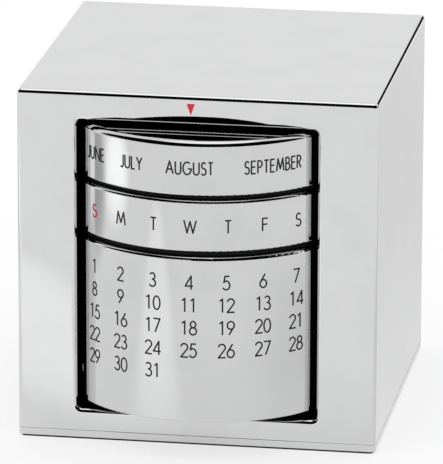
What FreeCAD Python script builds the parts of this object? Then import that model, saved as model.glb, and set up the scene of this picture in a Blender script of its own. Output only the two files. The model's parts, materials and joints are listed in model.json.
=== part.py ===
import FreeCAD, Part
import math
import os

# Perpetual desk calendar: a cube case with three rings that turn on one upright spindle.
# Millimetres, +Z up. The origin is the centre of the resting face, and the front faces -Y.

# Rings, the pieces that a finger turns
ring_radius = 30.5
ring_wall = 1.2
month_height = 11.5
weekday_height = 11.0
date_height = 35.9
month_top_wall = 1.5
month_top_rounding = 1.2
ring_top_rounding = 0.8
ring_foot_rounding = 0.3

# Dark gaps between the rings, each filled by a separator disc
upper_gap = 1.0
lower_gap = 1.2
separator_setback = 1.0
slip = 0.1

# Hubs inside the rings, each a moulded web with a boss and a rim
web_thickness = 2.5
boss_radius = 7.0
boss_length = 12.0
rim_wall = 1.5
rim_height = 8.0
web_hole_count = 6
web_hole_radius = 5.0
lower_web_recess = 1.0
bush_wall = 1.0
seat_clearance = 0.02

# Spindle and the small pieces on it
spindle_radius = 3.0
shaft_clearance = 0.05
spindle_flat = 0.5
flange_radius = 7.0
flange_thickness = 2.0
spacer_wall = 2.5
washer_thickness = 0.6
washer_wall = 2.8
spring_height = 1.5
spring_strip = 0.3
spring_width = 2.2
spring_waves = 3
spring_side_gap = 0.4
end_gap = 0.2

# Case around the rings
case_wall = 1.2
edge_rounding = 1.0
axis_setback = 20.0
side_room = 5.0
rear_room = 23.0
sill_height = 4.8
lintel_height = 6.3
jamb_gap = 1.4
sill_gap = 1.7
lintel_gap = 0.6
window_corner = 1.0
window_rounding = 1.0
ceiling_boss_wall = 3.0
corner_boss = 6.0
corner_boss_height = 12.0

# Liner inside the case
liner_wall = 1.2
liner_fit = 0.1
liner_reveal = 1.0
boss_room = 0.3

# Base plate and pad
base_thickness = 1.5
seam_chamfer = 0.05
pad_thickness = 0.5
pad_inset = 0.5

# Screws, all of one thread size
screw_radius = 1.5
thread_clearance = 0.05
screw_head_radius = 2.75
screw_head_sink = 0.05
base_screw_length = 8.0
spindle_screw_length = 10.0
tap_run_out = 2.0
recess_length = 2.8
recess_width = 0.6
recess_depth = 0.8

# Pointer mark above the window
pointer_width = 1.75
pointer_height = 2.45
pointer_offset = -1.2
pointer_rise = 2.15
pointer_depth = 0.3
pointer_proud = 0.05

# Heights, counted up from the resting face
base_bottom = pad_thickness
base_top = base_bottom + base_thickness
sill_top = base_top + sill_height
date_bottom = sill_top + sill_gap
date_top = date_bottom + date_height
weekday_bottom = date_top + lower_gap
weekday_top = weekday_bottom + weekday_height
month_bottom = weekday_top + upper_gap
month_top = month_bottom + month_height
lintel_bottom = month_top + lintel_gap
case_top = lintel_bottom + lintel_height
ceiling = case_top - case_wall
flange_top = base_top + flange_thickness
upper_washer_bottom = month_top + slip
spring_bottom = upper_washer_bottom + washer_thickness
ceiling_boss_bottom = spring_bottom + spring_height
lower_washer_bottom = date_bottom - slip - washer_thickness

# Plan of the case, from the rings outwards
half_width = ring_radius + side_room + liner_wall + liner_fit + case_wall
depth = axis_setback + ring_radius + rear_room + liner_wall + liner_fit + case_wall
front = -depth / 2
rear = depth / 2
axis_y = front + axis_setback
window_half = math.sqrt(ring_radius ** 2 - (axis_setback - case_wall) ** 2) + jamb_gap

# Radii that several pieces share
bore_radius = spindle_radius + shaft_clearance
bush_radius = bore_radius + bush_wall
ring_bore = ring_radius - ring_wall
hub_radius = ring_bore - seat_clearance
screw_head_height = screw_head_radius - screw_radius
tap_radius = screw_radius + thread_clearance
screw_place_x = half_width - case_wall - corner_boss / 2
screw_place_y = rear - case_wall - corner_boss / 2
tolerance = 1e-4


def at(x, y, z):
    """A point."""
    return FreeCAD.Vector(x, y, z)


def block(low, high):
    """A box between two opposite corners."""
    return Part.makeBox(high[0] - low[0], high[1] - low[1], high[2] - low[2], at(*low))


def cylinder(radius, bottom, top, x=0.0, y=axis_y):
    """An upright cylinder, on the spindle's axis unless told otherwise."""
    return Part.makeCylinder(radius, top - bottom, at(x, y, bottom))


def tube(outer, inner, bottom, top):
    """An upright tube on the spindle's axis."""
    return cylinder(outer, bottom, top).cut(cylinder(inner, bottom, top))


def edges_where(shape, wanted):
    """The edges whose bounding box passes a test."""
    return [edge for edge in shape.Edges if wanted(edge.BoundBox)]


def is_upright(box):
    """True for a vertical edge."""
    return box.ZLength > tolerance and box.XLength < tolerance and box.YLength < tolerance


def is_level_at(box, height):
    """True for an edge that lies at one height."""
    return abs(box.ZMin - height) < tolerance and abs(box.ZMax - height) < tolerance


def is_rim(box, height, radius):
    """True for a full circle of a radius at one height."""
    return is_level_at(box, height) and abs(box.XLength - 2 * radius) < 0.01


def is_outer_edge(box, height):
    """True for an edge of the case's outline at one height, corners included."""
    reach = 0.4 * edge_rounding
    across = max(abs(box.Center.x) - half_width, abs(box.Center.y) - rear)
    return is_level_at(box, height) and across > -reach


def window_prism(margin, near, far):
    """The window's outline grown by a margin, from one depth to another."""
    low = (-window_half - margin, near, sill_top - margin)
    high = (window_half + margin, far, lintel_bottom + margin)
    prism = block(low, high)
    corners = edges_where(prism, lambda box: box.YLength > tolerance and box.XLength < tolerance
                          and box.ZLength < tolerance)
    return prism.makeFillet(window_corner, corners)


def corner_places():
    """The centres of the four corner bosses."""
    return [(sx * screw_place_x, sy * screw_place_y) for sx in (-1, 1) for sy in (-1, 1)]


def pointer_prism(near, far):
    """The red triangle, point down, from one depth to another."""
    tip = lintel_bottom + pointer_rise
    top = tip + pointer_height
    left = pointer_offset - pointer_width / 2
    right = pointer_offset + pointer_width / 2
    points = [at(left, near, top), at(right, near, top), at(pointer_offset, near, tip)]
    face = Part.Face(Part.makePolygon(points + points[:1]))
    return face.extrude(at(0, far - near, 0))


def outer_shell():
    """The case's rounded outside with its inside cut away, open below."""
    solid = block((-half_width, front, base_top), (half_width, rear, case_top))
    rounded = edges_where(solid, lambda box: is_upright(box) or is_level_at(box, case_top))
    solid = solid.makeFillet(edge_rounding, rounded)
    inside = block((-half_width + case_wall, front + case_wall, base_top),
                   (half_width - case_wall, rear - case_wall, ceiling))
    return solid.cut(inside)


def boss_block(place, margin, bottom, top):
    """A square corner boss, grown by a margin."""
    half = corner_boss / 2 + margin
    x, y = place
    return block((x - half, y - half, bottom), (x + half, y + half, top))


def housing():
    """The chromed case: shell, bosses, window, blind holes and the mark's pocket."""
    shell = outer_shell()
    boss_top = base_top + corner_boss_height
    bosses = [boss_block(place, 0.0, base_top, boss_top) for place in corner_places()]
    ceiling_boss = cylinder(bore_radius + ceiling_boss_wall, ceiling_boss_bottom, ceiling)
    shell = shell.fuse(bosses + [ceiling_boss]).removeSplitter()
    shell = shell.cut(window_prism(0.0, front - case_wall, front + case_wall))
    rim = edges_where(shell, is_window_rim)
    shell = shell.makeFillet(window_rounding, rim)
    tap_top = base_top + base_screw_length - base_thickness + tap_run_out
    taps = [cylinder(tap_radius, base_top, tap_top, x, y) for x, y in corner_places()]
    shell = shell.cut(taps + [cylinder(bore_radius, ceiling_boss_bottom, ceiling)])
    shell = shell.cut(pointer_prism(front - case_wall, front + pointer_depth))
    seam = edges_where(shell, lambda box: is_outer_edge(box, base_top))
    return shell.makeChamfer(seam_chamfer, seam)


def is_window_rim(box):
    """True for an edge of the window on the front face."""
    in_plane = abs(box.YMin - front) < tolerance and abs(box.YMax - front) < tolerance
    across = max(abs(box.XMin), abs(box.XMax)) < window_half + tolerance
    up = box.ZMin > sill_top - tolerance and box.ZMax < lintel_bottom + tolerance
    return in_plane and across and up


def inner_liner():
    """The black liner: five thin walls inside the case, with a larger window."""
    x = half_width - case_wall - liner_fit
    near = front + case_wall + liner_fit
    far = rear - case_wall - liner_fit
    top = ceiling - liner_fit
    outside = block((-x, near, base_top), (x, far, top))
    inside = block((-x + liner_wall, near + liner_wall, base_top),
                   (x - liner_wall, far - liner_wall, top - liner_wall))
    liner = outside.cut(inside)
    notch_top = base_top + corner_boss_height + boss_room
    notches = [boss_block(place, boss_room, base_top, notch_top) for place in corner_places()]
    boss_hole = cylinder(bore_radius + ceiling_boss_wall + boss_room, top - liner_wall, top)
    window = window_prism(liner_reveal, near - liner_fit, near + 2 * liner_wall)
    return liner.cut(notches + [boss_hole, window])


def screw(x, y, bottom, length):
    """A countersunk screw, head down, with a cross recess."""
    neck = bottom + screw_head_height
    head = Part.makeCone(screw_head_radius, screw_radius, screw_head_height, at(x, y, bottom))
    body = head.fuse(cylinder(screw_radius, neck, bottom + length, x, y)).removeSplitter()
    half_long = recess_length / 2
    half_wide = recess_width / 2
    deep = bottom + recess_depth
    slots = [block((x - half_long, y - half_wide, bottom), (x + half_long, y + half_wide, deep)),
             block((x - half_wide, y - half_long, bottom), (x + half_wide, y + half_long, deep))]
    return body.cut(slots)


def screw_seat(x, y):
    """What one countersunk screw needs cut out of the base plate."""
    wide = screw_head_radius + screw_head_sink
    cone = Part.makeCone(wide, wide - base_thickness, base_thickness, at(x, y, base_bottom))
    return cone.fuse(cylinder(tap_radius, base_bottom, base_top, x, y))


def base_plate():
    """The plate that closes the case, its edge flush with the case's sides."""
    plate = block((-half_width, front, base_bottom), (half_width, rear, base_top))
    plate = plate.makeFillet(edge_rounding, edges_where(plate, is_upright))
    rims = edges_where(plate, lambda box: is_outer_edge(box, base_top)
                       or is_outer_edge(box, base_bottom))
    plate = plate.makeChamfer(seam_chamfer, rims)
    seats = [screw_seat(x, y) for x, y in corner_places()]
    return plate.cut(seats + [screw_seat(0.0, axis_y)])


def base_screws():
    """The four screws that hold the base plate."""
    length = base_screw_length - screw_head_sink
    screws = [screw(x, y, base_bottom + screw_head_sink, length) for x, y in corner_places()]
    return Part.makeCompound(screws)


def base_pad():
    """The thin pad that the calendar stands on."""
    pad = block((-half_width + pad_inset, front + pad_inset, 0.0),
                (half_width - pad_inset, rear - pad_inset, pad_thickness))
    return pad.makeFillet(edge_rounding, edges_where(pad, is_upright))


def keyed(radius, clearance, bottom, top):
    """A round bar with the spindle's flat on its rear side."""
    bar = cylinder(radius, bottom, top)
    flat_y = axis_y + spindle_radius - spindle_flat + clearance
    return bar.cut(block((-radius, flat_y, bottom), (radius, flat_y + radius, top)))


def spindle():
    """The fixed spindle: foot flange, keyed stem and a tapped hole in its foot."""
    stem = keyed(spindle_radius, 0.0, flange_top, ceiling - end_gap)
    foot = cylinder(flange_radius, base_top, flange_top)
    tap_top = base_top + spindle_screw_length - base_thickness + tap_run_out
    tapped = cylinder(tap_radius, base_top, tap_top)
    return foot.fuse(stem).removeSplitter().cut(tapped)


def spindle_screw():
    """The screw that holds the spindle to the base plate."""
    return screw(0.0, axis_y, base_bottom + screw_head_sink, spindle_screw_length)


def foot_spacer():
    """The sleeve that carries the stack of rings at its height."""
    return tube(bore_radius + spacer_wall, bore_radius, flange_top, lower_washer_bottom)


def washer(bottom):
    """A flat slip washer."""
    return tube(bore_radius + washer_wall, bore_radius, bottom, bottom + washer_thickness)


def separator(bottom, gap):
    """A thin disc, keyed to the spindle, that fills the gap between two rings."""
    low = bottom + slip
    high = bottom + gap - slip
    disc = cylinder(ring_radius - separator_setback, low, high)
    return disc.cut(keyed(bore_radius, shaft_clearance, low, high))


def wave_circle(radius, middle, swing):
    """A closed wavy line round the spindle."""
    count = 8 * spring_waves
    points = []
    for step in range(count):
        turn = 2 * math.pi * step / count
        height = middle + swing * math.cos(spring_waves * turn)
        points.append(at(radius * math.cos(turn), axis_y + radius * math.sin(turn), height))
    curve = Part.BSplineCurve()
    curve.interpolate(points, PeriodicFlag=True)
    return curve.toShape()


def wave_spring():
    """The wave washer that presses the stack together."""
    swing = (spring_height - spring_strip) / 2 - seat_clearance
    middle = spring_bottom + seat_clearance + swing
    inner = bore_radius + spring_side_gap
    strip = Part.makeRuledSurface(wave_circle(inner, middle, swing),
                                  wave_circle(inner + spring_width, middle, swing))
    return strip.extrude(at(0, 0, spring_strip))


def rounded_ring(body, bottom, top, top_rounding):
    """A ring with its outer rims rounded."""
    body = body.makeFillet(top_rounding,
                           edges_where(body, lambda box: is_rim(box, top, ring_radius)))
    return body.makeFillet(ring_foot_rounding,
                           edges_where(body, lambda box: is_rim(box, bottom, ring_radius)))


def plain_ring(bottom, top):
    """A chromed ring, open at both ends."""
    body = tube(ring_radius, ring_bore, bottom, top)
    return rounded_ring(body, bottom, top, ring_top_rounding)


def month_cup():
    """The month ring: a chromed cup with a closed, flat top."""
    body = cylinder(ring_radius, month_bottom, month_top)
    inside = cylinder(ring_bore, month_bottom, month_top - month_top_wall)
    eye = cylinder(bush_radius + seat_clearance, month_bottom, month_top)
    return rounded_ring(body.cut([inside, eye]), month_bottom, month_top, month_top_rounding)


def hub(boss, web, rim):
    """A moulded hub; each argument is a pair of heights, bottom and top."""
    body = cylinder(boss_radius, *boss).fuse([
        cylinder(hub_radius, *web),
        tube(hub_radius, hub_radius - rim_wall, *rim),
    ]).removeSplitter()
    middle = (boss_radius + hub_radius - rim_wall) / 2
    holes = []
    for index in range(web_hole_count):
        turn = 2 * math.pi * index / web_hole_count
        x = middle * math.cos(turn)
        y = axis_y + middle * math.sin(turn)
        holes.append(cylinder(web_hole_radius, *web, x, y))
    return body.cut(holes + [cylinder(bush_radius + seat_clearance, *boss)])


def bush(bottom, top):
    """A brass bush that runs on the spindle."""
    return tube(bush_radius, bore_radius, bottom, top)


def month_hub():
    """The hub inside the month cup."""
    web = (month_bottom, month_bottom + web_thickness)
    boss = (month_bottom, month_top - month_top_wall)
    return hub(boss, web, (month_bottom, month_bottom + rim_height))


def weekday_hub():
    """The hub inside the weekday ring."""
    web = (weekday_bottom, weekday_bottom + web_thickness)
    return hub((weekday_bottom, weekday_top), web, (weekday_bottom, weekday_bottom + rim_height))


def date_upper_hub():
    """The hub in the top end of the date drum."""
    web = (date_top - web_thickness, date_top)
    return hub((date_top - boss_length, date_top), web, (date_top - rim_height, date_top))


def date_lower_hub():
    """The hub in the bottom end of the date drum, set a little way in."""
    low = date_bottom + lower_web_recess
    web = (low, low + web_thickness)
    return hub((date_bottom, date_bottom + boss_length), web, (low, low + rim_height))


def build():
    """Every piece by its node name."""
    return {
        "housing": housing(),
        "inner_liner": inner_liner(),
        "base_plate": base_plate(),
        "base_pad": base_pad(),
        "base_screws": base_screws(),
        "spindle": spindle(),
        "spindle_screw": spindle_screw(),
        "foot_spacer": foot_spacer(),
        "lower_thrust_washer": washer(lower_washer_bottom),
        "lower_separator": separator(date_top, lower_gap),
        "upper_separator": separator(weekday_top, upper_gap),
        "upper_thrust_washer": washer(upper_washer_bottom),
        "wave_spring": wave_spring(),
        "pointer_mark": pointer_prism(front - pointer_proud, front + pointer_depth),
        "month_cup": month_cup(),
        "month_hub": month_hub(),
        "month_bush": bush(month_bottom, month_top),
        "weekday_ring": plain_ring(weekday_bottom, weekday_top),
        "weekday_hub": weekday_hub(),
        "weekday_bush": bush(weekday_bottom, weekday_top),
        "date_drum": plain_ring(date_bottom, date_top),
        "date_upper_hub": date_upper_hub(),
        "date_lower_hub": date_lower_hub(),
        "date_upper_bush": bush(date_top - boss_length, date_top),
        "date_lower_bush": bush(date_bottom, date_bottom + boss_length),
    }


def write(pieces):
    """One STEP file for each piece."""
    os.makedirs("parts", exist_ok=True)
    for name, shape in pieces.items():
        shape.exportStep(os.path.join("parts", name + ".step"))
        print(f"{name}: {len(shape.Solids)} solid, {shape.Volume:.1f} mm3, valid {shape.isValid()}")
    print(f"case {2 * half_width:.2f} x {depth:.2f} x {case_top:.2f} mm")
    print(f"axis {axis_y:.3f}, window half width {window_half:.3f}")


write(build())
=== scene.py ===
import json
import logging
import math
from dataclasses import dataclass, field
from enum import Enum
from typing import Optional, Union

import bpy
from mathutils import Matrix, Vector


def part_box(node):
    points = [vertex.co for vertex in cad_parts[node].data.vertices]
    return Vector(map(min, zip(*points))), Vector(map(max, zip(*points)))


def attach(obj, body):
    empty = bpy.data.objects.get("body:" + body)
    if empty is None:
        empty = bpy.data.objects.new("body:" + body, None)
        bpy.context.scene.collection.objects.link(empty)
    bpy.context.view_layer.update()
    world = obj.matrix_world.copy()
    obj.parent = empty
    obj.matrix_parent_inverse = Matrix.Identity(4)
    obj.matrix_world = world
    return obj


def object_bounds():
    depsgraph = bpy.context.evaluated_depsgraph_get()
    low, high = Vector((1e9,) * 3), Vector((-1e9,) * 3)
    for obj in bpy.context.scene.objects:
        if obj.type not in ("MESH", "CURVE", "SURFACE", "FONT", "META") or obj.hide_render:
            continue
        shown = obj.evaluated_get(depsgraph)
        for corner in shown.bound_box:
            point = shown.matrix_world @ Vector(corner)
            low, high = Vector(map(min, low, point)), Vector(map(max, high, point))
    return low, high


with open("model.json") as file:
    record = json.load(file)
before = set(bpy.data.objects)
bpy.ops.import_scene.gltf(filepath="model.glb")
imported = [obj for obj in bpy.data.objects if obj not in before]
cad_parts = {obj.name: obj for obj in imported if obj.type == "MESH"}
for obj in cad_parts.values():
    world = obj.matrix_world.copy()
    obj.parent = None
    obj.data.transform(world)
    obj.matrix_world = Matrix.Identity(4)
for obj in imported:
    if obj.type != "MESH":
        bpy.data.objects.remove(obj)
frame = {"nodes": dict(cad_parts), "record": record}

CAD_BOX = [list(corner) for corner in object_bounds()]
LOG = logging.getLogger("desk_calendar")
MM = 0.001
FULL_TURN = 360.0
ARC_STEP = 15.0
WHITE = (1.0, 1.0, 1.0, 1.0)

Colour = tuple[float, float, float]
Point = tuple[float, float]
Stroke = list[Point]
Number = Union[float, "Wire"]


class Wire:
    """One shader socket, with Python's operators standing for Math nodes."""

    def __init__(self, recipe: "Recipe", socket: Optional[bpy.types.NodeSocket]) -> None:
        """Wrap a socket.

        Args:
            recipe: The material or world that the socket belongs to.
            socket: The output that this wire carries, or None behind an output node.
        """
        self.recipe = recipe
        self.socket = socket

    def _maths(self, operation: str, first: Number, second: Number) -> "Wire":
        """Add one Math node and return its result."""
        return self.recipe.node("ShaderNodeMath", {"operation": operation}, {0: first, 1: second})

    def __add__(self, other: Number) -> "Wire":
        """Sum."""
        return self._maths("ADD", self, other)

    def __sub__(self, other: Number) -> "Wire":
        """Difference."""
        return self._maths("SUBTRACT", self, other)

    def __rsub__(self, other: Number) -> "Wire":
        """Reflected difference."""
        return self._maths("SUBTRACT", other, self)

    def __mul__(self, other: Number) -> "Wire":
        """Product."""
        return self._maths("MULTIPLY", self, other)

    __radd__ = __add__
    __rmul__ = __mul__

    def ramp(self, low: float, high: float, start: float = 0.0, end: float = 1.0) -> "Wire":
        """Ease from one value to another as this wire goes from low to high.

        Args:
            low: Input at which the ramp starts.
            high: Input at which it ends.
            start: Result at or below low.
            end: Result at or above high.

        Returns:
            The eased value.
        """
        settings = {"interpolation_type": "SMOOTHSTEP"}
        values = {0: self, 1: low, 2: high, 3: start, 4: end}
        return self.recipe.node("ShaderNodeMapRange", settings, values)


class Recipe:
    """A node tree under construction, for one material or for the world."""

    def __init__(self, owner: Union[bpy.types.Material, bpy.types.World]) -> None:
        """Empty the owner's tree.

        Args:
            owner: The material or world to build.
        """
        owner.use_nodes = True
        self.tree = owner.node_tree
        self.tree.nodes.clear()

    def node(self, kind: str, settings: Optional[dict] = None, values: Optional[dict] = None,
             output: Union[int, str] = 0) -> Wire:
        """Add any node.

        Args:
            kind: The node's type.
            settings: Properties that are set first.
            values: Constants or wires for its inputs, by name or index.
            output: The output that the result carries.

        Returns:
            A wire from that output.
        """
        made = self.tree.nodes.new(kind)
        for name, value in (settings or {}).items():
            setattr(made, name, value)
        for name, value in (values or {}).items():
            if isinstance(value, Wire):
                self.tree.links.new(value.socket, made.inputs[name])
            else:
                made.inputs[name].default_value = value
        return Wire(self, made.outputs[output] if len(made.outputs) else None)

    def path(self, ray: str) -> Wire:
        """One of Light Path's tests, such as "Is Camera Ray"."""
        return self.node("ShaderNodeLightPath", output=ray)

    def glow(self, strength: float) -> Wire:
        """A white emission."""
        return self.node("ShaderNodeEmission", values={"Color": WHITE, "Strength": strength})

    def backdrop(self, strength: float) -> Wire:
        """A white background."""
        return self.node("ShaderNodeBackground", values={"Color": WHITE, "Strength": strength})

    def place(self) -> Wire:
        """The point on the piece, in its own coordinates."""
        return self.node("ShaderNodeTexCoord", output="Object")

    def noise(self, scale: float, detail: float = 3.0, rough: float = 0.5,
              place: Optional[Wire] = None) -> Wire:
        """Soft noise.

        Args:
            scale: Cells to the metre.
            detail: Octaves.
            rough: Weight of the finer octaves.
            place: Point to read, the piece's own by default.

        Returns:
            A value from 0 to 1.
        """
        values = {"Vector": place or self.place(), "Scale": scale, "Detail": detail,
                  "Roughness": rough}
        return self.node("ShaderNodeTexNoise", values=values)

    def stretched(self, factors: tuple[float, float, float]) -> Wire:
        """The piece's point with each axis scaled."""
        return self.node("ShaderNodeMapping", values={"Vector": self.place(), "Scale": factors})

    def mix(self, amount: Wire, first: Colour, second: Colour) -> Wire:
        """Blend two colours.

        Args:
            amount: 0 for the first and 1 for the second.
            first: Red, green and blue.
            second: Red, green and blue.

        Returns:
            The blended colour.
        """
        values = {0: amount, 6: (*first, 1.0), 7: (*second, 1.0)}
        return self.node("ShaderNodeMix", {"data_type": "RGBA"}, values, output=2)

    def bump(self, height: Wire, strength: float, reach: float) -> Wire:
        """Relief from a height.

        Args:
            height: The height, 0 to 1.
            strength: How much of it shows.
            reach: Depth of a full step, in metres.

        Returns:
            The bent normal.
        """
        values = {"Height": height, "Strength": strength, "Distance": reach}
        return self.node("ShaderNodeBump", values=values)

    def surface(self, **values: Number) -> None:
        """End a material in one Principled shader.

        Args:
            **values: Its inputs, with underscores for spaces.
        """
        named = {name.replace("_", " "): value for name, value in values.items()}
        shader = self.node("ShaderNodeBsdfPrincipled", values=named)
        self.node("ShaderNodeOutputMaterial", values={"Surface": shader})


def fresh_material(name: str) -> tuple[bpy.types.Material, Recipe]:
    """Make a material with an empty tree.

    Args:
        name: The material's name.

    Returns:
        The material and its recipe.
    """
    material = bpy.data.materials.new(name)
    return material, Recipe(material)


@dataclass(frozen=True)
class Chrome:
    """Mirror-polished chrome plate: a faint haze from handling and a faint ripple in the plate."""

    name: str
    bright: Colour = (0.675, 0.678, 0.68)
    dull: Colour = (0.65, 0.652, 0.655)
    clear: float = 0.012
    hazy: float = 0.045
    ripple: float = 0.03

    def material(self) -> bpy.types.Material:
        """Build the finish.

        Returns:
            The material.
        """
        material, recipe = fresh_material(self.name)
        haze = recipe.noise(scale=90.0, detail=4.0, rough=0.6).ramp(low=0.35, high=0.75)
        flat = recipe.stretched((1.0, 1.0, 14.0))
        wipes = recipe.noise(scale=60.0, detail=6.0, rough=0.7, place=flat).ramp(low=0.5, high=0.8)
        recipe.surface(
            Base_Color=recipe.mix(haze, self.bright, self.dull),
            Metallic=1.0,
            Roughness=(haze * 0.6 + wipes * 0.4) * (self.hazy - self.clear) + self.clear,
            Normal=recipe.bump(recipe.noise(scale=45.0, detail=2.0), self.ripple, reach=0.2 * MM),
        )
        return material


@dataclass(frozen=True)
class Moulding:
    """Moulded plastic or rubber with a fine spark-eroded grain."""

    name: str
    dark: Colour
    pale: Colour
    roughness: float
    grain: float = 3000.0
    shine: float = 0.5

    def material(self) -> bpy.types.Material:
        """Build the finish.

        Returns:
            The material.
        """
        material, recipe = fresh_material(self.name)
        grain = recipe.noise(scale=self.grain, detail=4.0, rough=0.6)
        cloud = recipe.noise(scale=120.0)
        recipe.surface(
            Base_Color=recipe.mix(cloud, self.dark, self.pale),
            Specular_IOR_Level=self.shine,
            Roughness=cloud * 0.15 + self.roughness,
            Normal=recipe.bump(grain, strength=0.25, reach=0.05 * MM),
        )
        return material


@dataclass(frozen=True)
class TurnedMetal:
    """Turned metal, with fine tool marks round an upright axis."""

    name: str
    bright: Colour
    dull: Colour
    roughness: float = 0.22

    def material(self) -> bpy.types.Material:
        """Build the finish.

        Returns:
            The material.
        """
        material, recipe = fresh_material(self.name)
        flat = recipe.stretched((1.0, 1.0, 160.0))
        marks = recipe.noise(scale=30.0, detail=5.0, rough=0.7, place=flat)
        recipe.surface(
            Base_Color=recipe.mix(marks, self.bright, self.dull),
            Metallic=1.0,
            Roughness=marks * 0.2 + self.roughness,
            Normal=recipe.bump(marks, strength=0.2, reach=0.02 * MM),
        )
        return material


@dataclass(frozen=True)
class Ink:
    """Baked print or enamel: one colour that is a little uneven, under a gloss."""

    name: str
    colour: Colour
    thin: Colour
    roughness: float = 0.35
    shine: float = 0.2

    def material(self) -> bpy.types.Material:
        """Build the finish.

        Returns:
            The material.
        """
        material, recipe = fresh_material(self.name)
        patches = recipe.noise(scale=900.0, rough=0.6)
        recipe.surface(
            Base_Color=recipe.mix(patches.ramp(low=0.35, high=0.8), self.colour, self.thin),
            Specular_IOR_Level=self.shine,
            Roughness=patches * 0.15 + self.roughness,
            Normal=recipe.bump(patches, strength=0.1, reach=0.02 * MM),
        )
        return material


def line(*points: Point) -> Stroke:
    """A run of straight lines."""
    return list(points)


def arc(x: float, y: float, wide: float, high: float, start: float, end: float) -> Stroke:
    """Part of an ellipse.

    Args:
        x: Middle, across.
        y: Middle, up.
        wide: Half width.
        high: Half height.
        start: First angle in degrees, from the right, turning left.
        end: Last angle.

    Returns:
        Points about ARC_STEP degrees apart.
    """
    count = max(2, round(abs(end - start) / ARC_STEP))
    turns = [math.radians(start + (end - start) * step / count) for step in range(count + 1)]
    return [(x + wide * math.cos(turn), y + high * math.sin(turn)) for turn in turns]


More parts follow.
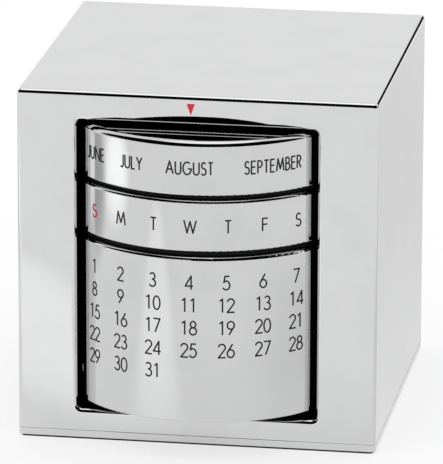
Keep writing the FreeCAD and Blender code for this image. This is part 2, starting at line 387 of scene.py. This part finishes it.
class Alphabet:
    """Plain single-line capitals and figures, drawn on a cap height of one.

    Attributes:
        GAP: Space after a letter.
        CELL: Width of every figure, so that the columns of dates line up.
        CELL_GAP: Space after a figure.
        LETTERS: The strokes of each letter and figure, from the left foot.
    """

    GAP = 0.23
    CELL = 0.49
    CELL_GAP = 0.14
    LETTERS: dict[str, list[Stroke]] = {
        "A": [line((0, 0), (0.37, 1), (0.74, 0)), line((0.14, 0.36), (0.60, 0.36))],
        "B": [line((0, 0.53), (0, 1), (0.18, 1)) + arc(0.18, 0.765, 0.22, 0.235, 75, -90)
              + line((0, 0.53)), line((0, 0.53), (0.20, 0.53))
              + arc(0.20, 0.265, 0.26, 0.265, 75, -90) + line((0, 0), (0, 0.53))],
        "C": [arc(0.48, 0.5, 0.48, 0.5, 58, 302)],
        "D": [line((0, 0), (0, 1), (0.18, 1)) + arc(0.18, 0.5, 0.48, 0.5, 80, -90) + line((0, 0))],
        "E": [line((0.44, 1), (0, 1), (0, 0), (0.44, 0)), line((0, 0.53), (0.40, 0.53))],
        "F": [line((0.42, 1), (0, 1), (0, 0)), line((0, 0.53), (0.38, 0.53))],
        "G": [arc(0.42, 0.5, 0.42, 0.5, 50, 355) + line((0.50, 0.47))],
        "H": [line((0, 0), (0, 1)), line((0.62, 0), (0.62, 1)), line((0, 0.53), (0.62, 0.53))],
        "I": [line((0, 0), (0, 1))],
        "J": [line((0.32, 1), (0.32, 0.20)) + arc(0.16, 0.20, 0.16, 0.20, 0, -150)],
        "L": [line((0, 1), (0, 0), (0.38, 0))],
        "M": [line((0, 0), (0.14, 1), (0.41, 0.16), (0.68, 1), (0.82, 0))],
        "N": [line((0, 0), (0, 1), (0.66, 0), (0.66, 1))],
        "O": [arc(0.46, 0.5, 0.46, 0.5, 90, 450)],
        "P": [line((0, 0), (0, 1), (0.18, 1)) + arc(0.18, 0.74, 0.26, 0.26, 75, -90)
              + line((0, 0.48))],
        "R": [line((0, 0), (0, 1), (0.18, 1)) + arc(0.18, 0.75, 0.25, 0.25, 75, -90)
              + line((0, 0.5)), line((0.18, 0.5), (0.46, 0))],
        "S": [arc(0.235, 0.755, 0.195, 0.245, 30, 250) + arc(0.225, 0.265, 0.235, 0.265, 70, -150)],
        "T": [line((0, 1), (0.47, 1)), line((0.235, 1), (0.235, 0))],
        "U": [line((0, 1), (0, 0.28)) + arc(0.28, 0.28, 0.28, 0.28, 180, 360)
              + line((0.56, 1))],
        "V": [line((0, 1), (0.32, 0), (0.64, 1))],
        "W": [line((0, 1), (0.25, 0), (0.475, 0.9), (0.70, 0), (0.95, 1))],
        "Y": [line((0, 1), (0.30, 0.5), (0.60, 1)), line((0.30, 0.5), (0.30, 0))],
        "0": [arc(0.25, 0.5, 0.25, 0.5, 90, 450)],
        "1": [line((0.08, 0.84), (0.28, 1), (0.28, 0))],
        "2": [arc(0.245, 0.74, 0.245, 0.26, 170, -25) + line((0, 0), (0.52, 0))],
        "3": [arc(0.235, 0.765, 0.195, 0.235, 150, -90) + arc(0.235, 0.265, 0.245, 0.265, 90, -155)],
        "4": [line((0.56, 0.25), (0, 0.25), (0.42, 1), (0.42, 0))],
        "5": [line((0.46, 1), (0.14, 1), (0.06, 0.55)) + arc(0.22, 0.325, 0.26, 0.325, 118, -150)],
        "6": [line((0.38, 1), (0.06, 0.46)) + arc(0.25, 0.29, 0.25, 0.29, 145, 505)],
        "7": [line((0, 1), (0.50, 1), (0.14, 0))],
        "8": [arc(0.25, 0.765, 0.19, 0.235, -90, 270), arc(0.25, 0.265, 0.25, 0.265, 90, 450)],
        "9": [line((0.12, 0), (0.44, 0.54)) + arc(0.25, 0.71, 0.25, 0.29, -35, 325)],
    }

    @classmethod
    def width(cls, letter: str) -> float:
        """How far a letter reaches across.

        Args:
            letter: One capital or figure.

        Returns:
            Its width, for a cap height of one.
        """
        if letter.isdigit():
            return cls.CELL
        return max(point[0] for stroke in cls.LETTERS[letter] for point in stroke)

    @classmethod
    def word(cls, text: str, condense: float = 1.0) -> tuple[list[Stroke], float]:
        """Set a word.

        Args:
            text: Capitals and figures.
            condense: Scale across.

        Returns:
            Its strokes, centred across, and its width.
        """
        strokes: list[Stroke] = []
        pen = space = 0.0
        for letter in text:
            for stroke in cls.LETTERS[letter]:
                strokes.append([((pen + x) * condense, y - 0.5) for x, y in stroke])
            space = cls.CELL_GAP if letter.isdigit() else cls.GAP
            pen += cls.width(letter) + space
        total = (pen - space) * condense
        return [[(x - total / 2, y) for x, y in stroke] for stroke in strokes], total


@dataclass(frozen=True)
class Mark:
    """One word or figure on a ring.

    Attributes:
        text: Capitals or figures.
        turn: Degrees round the ring from the front, to the right.
        height: Its middle above the resting face.
        cap: Cap height.
        condense: Scale across.
    """

    text: str
    turn: float
    height: float
    cap: float
    condense: float = 1.0


@dataclass
class Printing:
    """Words and figures printed round one ring, as a thin raised film of ink.

    Attributes:
        name: The piece's name.
        body: The body that it rides on.
        slot: The material slot of the ring under it; not used.
        finish: The ink.
        marks: What is printed.
        radius: The ring's radius.
        axis_y: Where the rings' axis stands.
        stroke: Width of the pen.
        film: Half the thickness of the ink.
        nearest: Least distance between two points of a stroke, in pen widths.
        corner: Degrees of turn at which a stroke is broken.
        lap: How far two runs reach past their corner, in pen widths.
        crease: Degrees between faces up to which the ink is shaded smooth.
    """

    name: str
    body: str
    slot: str
    finish: bpy.types.Material
    marks: list[Mark]
    radius: float
    axis_y: float
    stroke: float = 0.34 * MM
    film: float = 0.03 * MM
    nearest: float = 0.01
    corner: float = 35.0
    lap: float = 0.3
    crease: float = 50.0

    @classmethod
    def reach(cls, text: str, condense: float, cap: float) -> float:
        """How wide a word comes out, in metres, the pen included."""
        return Alphabet.word(text, condense)[1] * (cap - cls.stroke) + cls.stroke

    def runs(self, points: list[Vector]) -> list[list[Vector]]:
        """Break a stroke at its sharp corners, where one bent tube would be pinched.

        Args:
            points: The stroke, in metres.

        Returns:
            Its runs, which overlap a little at each corner.
        """
        points = [point for index, point in enumerate(points)
                  if index == 0 or (point - points[index - 1]).length > self.stroke * self.nearest]
        broken = [[points[0]]]
        for index in range(1, len(points)):
            broken[-1].append(points[index])
            if index + 1 < len(points):
                before = (points[index] - points[index - 1]).normalized()
                after = (points[index + 1] - points[index]).normalized()
                if before.angle(after) > math.radians(self.corner):
                    broken[-1][-1] = points[index] + before * self.stroke * self.lap
                    broken.append([points[index] - after * self.stroke * self.lap])
        return broken

    def flat_curve(self, mark: Mark) -> bpy.types.Object:
        """Draw one mark flat, in metres, with a round pen.

        Args:
            mark: The word or figure.

        Returns:
            A curve in the X-Y plane.
        """
        bpy.ops.object.select_all(action="DESELECT")
        bpy.ops.curve.primitive_bezier_curve_add()
        drawn = bpy.context.object
        curve = drawn.data
        curve.splines.clear()
        strokes, _ = Alphabet.word(mark.text, mark.condense)
        reach = mark.cap - self.stroke
        for stroke in strokes:
            for run in self.runs([Vector((x * reach, y * reach, 0.0)) for x, y in stroke]):
                spline = curve.splines.new("POLY")
                spline.points.add(len(run) - 1)
                for point, place in zip(spline.points, run):
                    point.co = (*place, 1.0)
        curve.dimensions = "3D"
        curve.bevel_depth = self.stroke / 2
        curve.bevel_resolution = 1
        curve.use_fill_caps = True
        return drawn

    def wrap(self, drawn: bpy.types.Object, mark: Mark) -> None:
        """Lay a flat mesh round the ring.

        Args:
            drawn: The mark as a mesh.
            mark: Where it goes.
        """
        squash = 2 * self.film / self.stroke
        for vertex in drawn.data.vertices:
            across, up, out = vertex.co
            turn = math.radians(mark.turn) + across / self.radius
            reach = self.radius + self.film + out * squash
            vertex.co = (reach * math.sin(turn), self.axis_y - reach * math.cos(turn),
                         mark.height + up)

    def build(self) -> bpy.types.Object:
        """Print every mark and join them into one piece.

        Returns:
            The piece.
        """
        made = []
        for mark in self.marks:
            drawn = self.flat_curve(mark)
            bpy.ops.object.convert(target="MESH")
            self.wrap(drawn, mark)
            made.append(drawn)
        bpy.ops.object.select_all(action="DESELECT")
        for drawn in made:
            drawn.select_set(True)
        bpy.context.view_layer.objects.active = made[0]
        bpy.ops.object.join()
        piece = bpy.context.object
        piece.name = self.name
        bpy.ops.object.mode_set(mode="EDIT")
        bpy.ops.mesh.select_all(action="SELECT")
        bpy.ops.mesh.normals_make_consistent(inside=False)
        bpy.ops.object.mode_set(mode="OBJECT")
        bpy.ops.object.shade_smooth_by_angle(angle=math.radians(self.crease))
        piece.data.materials.clear()
        piece.data.materials.append(self.finish)
        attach(piece, self.body)
        LOG.info("%s: %d marks, %d faces", self.name, len(self.marks), len(piece.data.polygons))
        return piece


class Length(Enum):
    """The three lengths of a month that the date drum holds, one grid each."""

    LONG = 31
    SHORT = 30
    LEAP = 29


@dataclass
class Rings:
    """The month ring, the weekday ring and the date drum: what is printed on them.

    Attributes:
        month_cap: Cap height of the months.
        weekday_cap: Cap height of the weekday initials.
        date_cap: Height of the date figures.
        month_height: Middle of the months above the resting face.
        weekday_height: Middle of the initials.
        first_row_height: Middle of the first row of dates.
        row_pitch: Step from row to row.
        column: Degrees from date to date.
        weekday_column: Degrees from initial to initial.
        weeks: How many weeks of initials the ring holds.
        date_turn: Degrees by which the middle column of dates stands right of the front.
        weekday_turn: The same for the middle initial.
        month_turn: The same for the first month.
        condense: Scale of the months across.
        month_spread: Share of a month's width that is added to the space beside it.
        month_squeeze: Degrees by which the first and the last two months are drawn to the next.
        months: The months, from the one at the front.
        weekdays: The initials, from Sunday.
    """

    month_cap: float = 3.0 * MM
    weekday_cap: float = 3.05 * MM
    date_cap: float = 3.25 * MM
    month_height: float = 63.43 * MM
    weekday_height: float = 50.95 * MM
    first_row_height: float = 38.87 * MM
    row_pitch: float = 4.905 * MM
    column: float = 14.75
    weekday_column: float = 14.85
    weeks: int = 3
    date_turn: float = 0.25
    weekday_turn: float = 0.75
    month_turn: float = 0.4
    condense: float = 0.774
    month_spread: float = 0.15
    month_squeeze: float = 0.9
    months: list[str] = field(default_factory=lambda: [
        "AUGUST", "SEPTEMBER", "OCTOBER", "NOVEMBER", "DECEMBER", "JANUARY",
        "FEBRUARY", "MARCH", "APRIL", "MAY", "JUNE", "JULY"])
    weekdays: str = "SMTWTFS"

    def size(self) -> tuple[float, float]:
        """The rings' radius and their axis, from the month ring itself."""
        low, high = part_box("month_cup")
        return (high.x - low.x) / 2, (high.y + low.y) / 2

    def month_marks(self) -> list[Mark]:
        """The months, wider apart where the words are longer.

        Returns:
            The marks, once round the ring.
        """
        radius, _ = self.size()
        reach = [math.degrees(Printing.reach(name, self.condense, self.month_cap) / radius)
                 for name in self.months]
        last = len(reach) - 1
        squeezed = (0, last - 1, last)
        space = FULL_TURN + len(squeezed) * self.month_squeeze
        space -= (1 + 2 * self.month_spread) * sum(reach)
        space /= len(reach)
        turn = self.month_turn
        marks = []
        for index, (name, wide) in enumerate(zip(self.months, reach)):
            marks.append(Mark(name, turn, self.month_height, self.month_cap, self.condense))
            after = reach[(index + 1) % len(reach)]
            turn += (wide + after) * (0.5 + self.month_spread) + space
            if index in squeezed:
                turn -= self.month_squeeze
        return marks

    def weekday_marks(self, sundays: bool) -> list[Mark]:
        """The weeks of initials, Sundays apart from the other days.

        Args:
            sundays: True for the Sundays alone, False for the rest.

        Returns:
            The marks.
        """
        days = len(self.weekdays)
        marks = []
        for step in range(-days, (self.weeks - 1) * days):
            week, day = divmod(step, days)
            turn = (day - days // 2) * self.weekday_column + self.weekday_turn
            turn += week * FULL_TURN / self.weeks
            if (day == 0) == sundays:
                marks.append(Mark(self.weekdays[day], turn, self.weekday_height,
                                  self.weekday_cap))
        return marks

    def date_marks(self) -> list[Mark]:
        """A grid for each length of month, evenly round the drum.

        Returns:
            The marks.
        """
        days = len(self.weekdays)
        marks = []
        for index, length in enumerate(Length):
            for day in range(length.value):
                row, column = divmod(day, days)
                height = self.first_row_height - row * self.row_pitch
                turn = (column - days // 2) * self.column + self.date_turn
                turn += index * FULL_TURN / len(Length)
                marks.append(Mark(str(day + 1), turn, height, self.date_cap))
        return marks

    def build(self, black: bpy.types.Material, red: bpy.types.Material) -> None:
        """Print all three rings.

        Args:
            black: The ink of nearly all of the lettering.
            red: The ink of the Sundays.
        """
        radius, axis_y = self.size()
        for name, body, finish, marks in (
            ("month_names", "month", black, self.month_marks()),
            ("weekday_initials", "weekday", black, self.weekday_marks(False)),
            ("sunday_initials", "weekday", red, self.weekday_marks(True)),
            ("date_figures", "date", black, self.date_marks()),
        ):
            Printing(name, body, "ring_chrome", finish, marks, radius, axis_y).build()


@dataclass
class Dressing:
    """Finishes for the pieces that the frame brings in, by their material slot."""

    finishes: dict[str, bpy.types.Material]

    def dress(self) -> None:
        """Give every node the finish of its slot."""
        slots = {part["node"]: part["material_slot"] for part in frame["record"]["subparts"]}
        for name, node in frame["nodes"].items():
            node.data.materials.clear()
            node.data.materials.append(self.finishes[slots[name]])
            LOG.info("%s: %s", name, slots[name])


@dataclass(frozen=True)
class PaintedReflectionPatch:
    """A painted reflection: a soft oval on the floor that glows brighter or darker than the plain
    floor. Only the mirror finish sees it, so it paints bright and dark streaks on the chrome.

    Attributes:
        middle: Its middle on the floor, in metres.
        half: Its half length and half width.
        turn: Degrees by which its length is turned from X.
        strength: How bright it glows, where plain floor is 1.
        amount: How much of it shows at its middle.
        soft: Where it starts to fade, as a squared share of the way to the rim.
    """

    middle: tuple[float, float]
    half: tuple[float, float]
    turn: float
    strength: float
    amount: float = 1.0
    soft: float = 0.0

    def patch(self, recipe: Recipe) -> Wire:
        """Where the painted reflection patch lies.

        Args:
            recipe: The floor's material.

        Returns:
            Its amount at the middle, fading to 0 at the rim.
        """
        turn = math.radians(self.turn)
        point = recipe.place()
        x = recipe.node("ShaderNodeSeparateXYZ", values={0: point}, output="X") - self.middle[0]
        y = recipe.node("ShaderNodeSeparateXYZ", values={0: point}, output="Y") - self.middle[1]
        along = (x * math.cos(turn) + y * math.sin(turn)) * (1 / self.half[0])
        across = (y * math.cos(turn) - x * math.sin(turn)) * (1 / self.half[1])
        outward = along * along + across * across
        return outward.ramp(low=self.soft, high=1.0, start=self.amount, end=0.0)


@dataclass
class Studio:
    """A plain pale floor, a light tent and the photograph's camera.

    Attributes:
        azimuth: Degrees that the camera stands to the right of the front.
        elevation: Degrees that it looks down.
        roll: Degrees that it is tilted.
        distance: From the middle of the case.
        focal_px: Focal length, in pixels of the photograph.
        middle_px: How far the case's middle lies right of and below the picture's.
        image_px: The photograph's width and height.
        sensor_mm: Width of the sensor that the focal length is given for.
        clip: The nearest and the farthest that the camera sees.
        floor_size: Side of the floor.
        cloth: Colour of the floor.
        floor_white: How much of the floor is plain white to eye and mirror.
        tent: Brightness of the tent in the mirror finish.
        daylight: Brightness of the tent on everything else.
        overhead: Brightness of the lamp at the top of the tent, in the mirror finish.
        lamp_rim: Upward share of a direction at which that lamp starts and is full.
        gap_front: Backward share at which the dark gap on the camera's side starts and is full.
        gap_foot: Upward share at which the gap starts and is full.
        gap_top: Upward share at which it ends and is full.
        band_back: Backward share at which the dark band low behind starts and is full.
        band_right: Share to the right at which the band starts and is full.
        band_foot: Upward share at which the band starts and is full.
        band_top: Upward share at which it ends and is full.
        painted_reflection_patches: The soft ovals on the floor that glow only for the mirror finish,
            as painted reflections on the chrome.
    """

    azimuth: float = 9.0586
    elevation: float = 16.3229
    roll: float = 0.1622
    distance: float = 1296.2 * MM
    focal_px: float = 6042.4
    middle_px: tuple[float, float] = (3.591, -10.208)
    image_px: tuple[int, int] = (443, 464)
    sensor_mm: float = 36.0
    clip: tuple[float, float] = (0.01, 50.0)
    floor_size: float = 8.0
    cloth: Colour = (0.96, 0.96, 0.965)
    floor_white: float = 0.72
    tent: float = 0.97
    daylight: float = 1.05
    overhead: float = 1.5
    lamp_rim: tuple[float, float] = (0.93, 0.96)
    gap_front: tuple[float, float] = (-0.02, -0.10)
    gap_foot: tuple[float, float] = (0.0, 0.03)
    gap_top: tuple[float, float] = (0.93, 0.88)
    band_back: tuple[float, float] = (0.0, 0.2)
    band_right: tuple[float, float] = (0.05, 0.15)
    band_foot: tuple[float, float] = (-0.02, 0.0)
    band_top: tuple[float, float] = (0.26, 0.20)
    # painted reflections: glowing ovals on the floor, seen only in the chrome
    painted_reflection_patches: tuple[PaintedReflectionPatch, ...] = (
        PaintedReflectionPatch((-0.068, -0.134), (0.110, 0.031), 234.8, 1.17, soft=0.2),
        PaintedReflectionPatch((-0.222, -0.108), (0.060, 0.060), 0.0, 1.5),
        PaintedReflectionPatch((-0.225, -0.020), (0.090, 0.050), 0.0, 0.52),
        PaintedReflectionPatch((0.110, 0.160), (0.130, 0.320), 0.0, 0.76),
    )

    def camera(self) -> None:
        """Set the camera up at the photograph's angle."""
        turn, rise = math.radians(self.azimuth), math.radians(self.elevation)
        back = Vector((math.sin(turn) * math.cos(rise), -math.cos(turn) * math.cos(rise),
                       math.sin(rise)))
        bpy.ops.object.camera_add()
        camera = bpy.context.object
        camera.name = "photo_camera"
        spin = Matrix.Rotation(math.radians(self.roll), 4, "Z")
        facing = (-back).to_track_quat("-Z", "Y").to_matrix().to_4x4()
        (_, _, foot), (_, _, top) = CAD_BOX
        target = Vector((0.0, 0.0, (foot + top) / 2))
        camera.matrix_world = Matrix.Translation(target + back * self.distance) @ facing @ spin
        lens = camera.data
        longest = max(self.image_px)
        lens.sensor_width = self.sensor_mm
        lens.lens = self.focal_px * lens.sensor_width / longest
        lens.shift_x = -self.middle_px[0] / longest
        lens.shift_y = self.middle_px[1] / longest
        lens.clip_start, lens.clip_end = self.clip
        bpy.context.scene.camera = camera

    def floor(self) -> None:
        """Lay the floor: pale, with the object's shadow, and white to eye and mirror alike.

        The painted reflection patches lie on it. They are soft ovals that glow brighter or darker
        than the floor, and only the mirror finish shows them, as painted bright and dark streaks.
        """
        bpy.ops.object.select_all(action="DESELECT")
        bpy.ops.mesh.primitive_plane_add(size=self.floor_size)
        floor = bpy.context.object
        floor.name = "floor"
        material, recipe = fresh_material("pale_floor")
        seen = (recipe.path("Is Camera Ray") + recipe.path("Is Glossy Ray")
                + recipe.path("Is Transmission Ray"))
        cloth = recipe.node("ShaderNodeBsdfDiffuse", values={"Color": (*self.cloth, 1.0)})
        white = recipe.glow(1.0)
        lit = recipe.node("ShaderNodeMixShader",
                          values={0: seen * self.floor_white, 1: cloth, 2: white})
        # painted reflections: each patch glows for glossy rays only, to streak the chrome
        for reflection_patch in self.painted_reflection_patches:
            lit = recipe.node("ShaderNodeMixShader", values={
                0: reflection_patch.patch(recipe) * recipe.path("Is Glossy Ray"), 1: lit,
                2: recipe.glow(reflection_patch.strength)})
        recipe.node("ShaderNodeOutputMaterial", values={"Surface": lit})
        floor.data.materials.append(material)

    def world(self) -> None:
        """Hang the light tent, which is white all round.

        The mirror finish alone sees a dark gap on the camera's side, a dark band low behind right
        and a lamp overhead.
        """
        world = bpy.data.worlds.new("light_tent")
        bpy.context.scene.world = world
        recipe = Recipe(world)
        direction = recipe.node("ShaderNodeTexCoord", output="Generated")
        up = recipe.node("ShaderNodeSeparateXYZ", values={0: direction}, output="Z")
        along = recipe.node("ShaderNodeSeparateXYZ", values={0: direction}, output="Y")
        right = recipe.node("ShaderNodeSeparateXYZ", values={0: direction}, output="X")
        mirror = recipe.path("Is Glossy Ray")
        gap = along.ramp(*self.gap_front) * up.ramp(*self.gap_foot) * up.ramp(*self.gap_top)
        band = along.ramp(*self.band_back) * right.ramp(*self.band_right)
        band = band * up.ramp(*self.band_foot) * up.ramp(*self.band_top)
        lamp = up.ramp(*self.lamp_rim)
        plain = recipe.node("ShaderNodeMixShader", values={
            0: mirror, 1: recipe.backdrop(self.daylight), 2: recipe.backdrop(self.tent)})
        lit = recipe.node("ShaderNodeMixShader", values={
            0: lamp * mirror, 1: plain, 2: recipe.backdrop(self.overhead)})
        dim = recipe.node("ShaderNodeMixShader", values={
            0: (gap + band) * mirror, 1: lit, 2: recipe.backdrop(0.0)})
        sky = recipe.node("ShaderNodeMixShader",
                          values={0: recipe.path("Is Camera Ray"), 1: dim,
                                  2: recipe.backdrop(1.0)})
        recipe.node("ShaderNodeOutputWorld", values={"Surface": sky})

    def build(self) -> None:
        """Set the whole studio up."""
        self.camera()
        self.floor()
        self.world()
        bpy.context.scene.view_settings.view_transform = "Standard"
        LOG.info("studio: lens %.1f mm", bpy.context.scene.camera.data.lens)


def main() -> None:
    """Dress the frame, print the rings and set the studio up."""
    logging.basicConfig(level=logging.INFO, format="%(name)s %(message)s")
    black = Ink("black_print", (0.012, 0.012, 0.014), (0.03, 0.03, 0.034)).material()
    red = Ink("red_print", (0.46, 0.006, 0.03), (0.54, 0.02, 0.05)).material()
    Dressing({
        "case_chrome": Chrome("case_chrome").material(),
        "ring_chrome": Chrome("ring_chrome", (0.62, 0.622, 0.626), (0.595, 0.598, 0.603),
                              ripple=0.02).material(),
        "black_moulding": Moulding("black_moulding", (0.004, 0.004, 0.005),
                                   (0.008, 0.008, 0.009), 0.6, shine=0.12).material(),
        "slip_moulding": Moulding("slip_moulding", (0.7, 0.69, 0.64), (0.78, 0.77, 0.73),
                                  0.4).material(),
        "pad_rubber": Moulding("pad_rubber", (0.01, 0.01, 0.01), (0.022, 0.022, 0.022), 0.8,
                               grain=1500.0).material(),
        "bright_steel": TurnedMetal("bright_steel", (0.62, 0.62, 0.64),
                                    (0.5, 0.5, 0.52)).material(),
        "bush_brass": TurnedMetal("bush_brass", (0.74, 0.56, 0.27), (0.6, 0.44, 0.2)).material(),
        "red_enamel": Ink("red_enamel", (0.72, 0.015, 0.03), (0.76, 0.03, 0.05),
                          roughness=0.25, shine=0.5).material(),
    }).dress()
    Rings().build(black, red)
    Studio().build()


if __name__ == "__main__":
    main()
